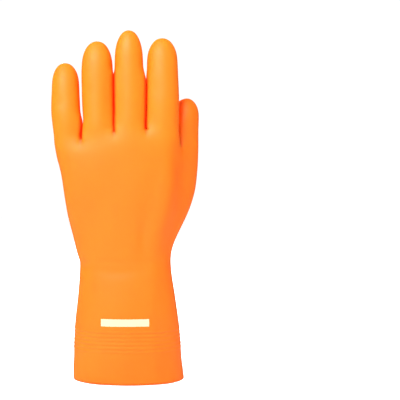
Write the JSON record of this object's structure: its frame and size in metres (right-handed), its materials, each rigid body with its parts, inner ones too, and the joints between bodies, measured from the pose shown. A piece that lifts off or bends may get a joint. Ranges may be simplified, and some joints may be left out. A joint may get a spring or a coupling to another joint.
{
  "type": "work glove",
  "caption": "Left-hand work glove of thick dipped latex with a long flared cuff, a ribbed band above the hem, a pinched wrist and the thumb set before the palm, open at the cuff.",
  "frame": {"origin": "middle of the cuff's mouth, in the plane of the hem", "axes": "+Z along the hand from the hem to the fingertips, +X towards the thumb's side, +Y towards the palm"},
  "size_m": [0.1356, 0.062, 0.3103],
  "materials": {
    "latex": "satin orange latex"
  },
  "bodies": {
    "root": {"glove": "latex"}
  },
  "joints": []
}
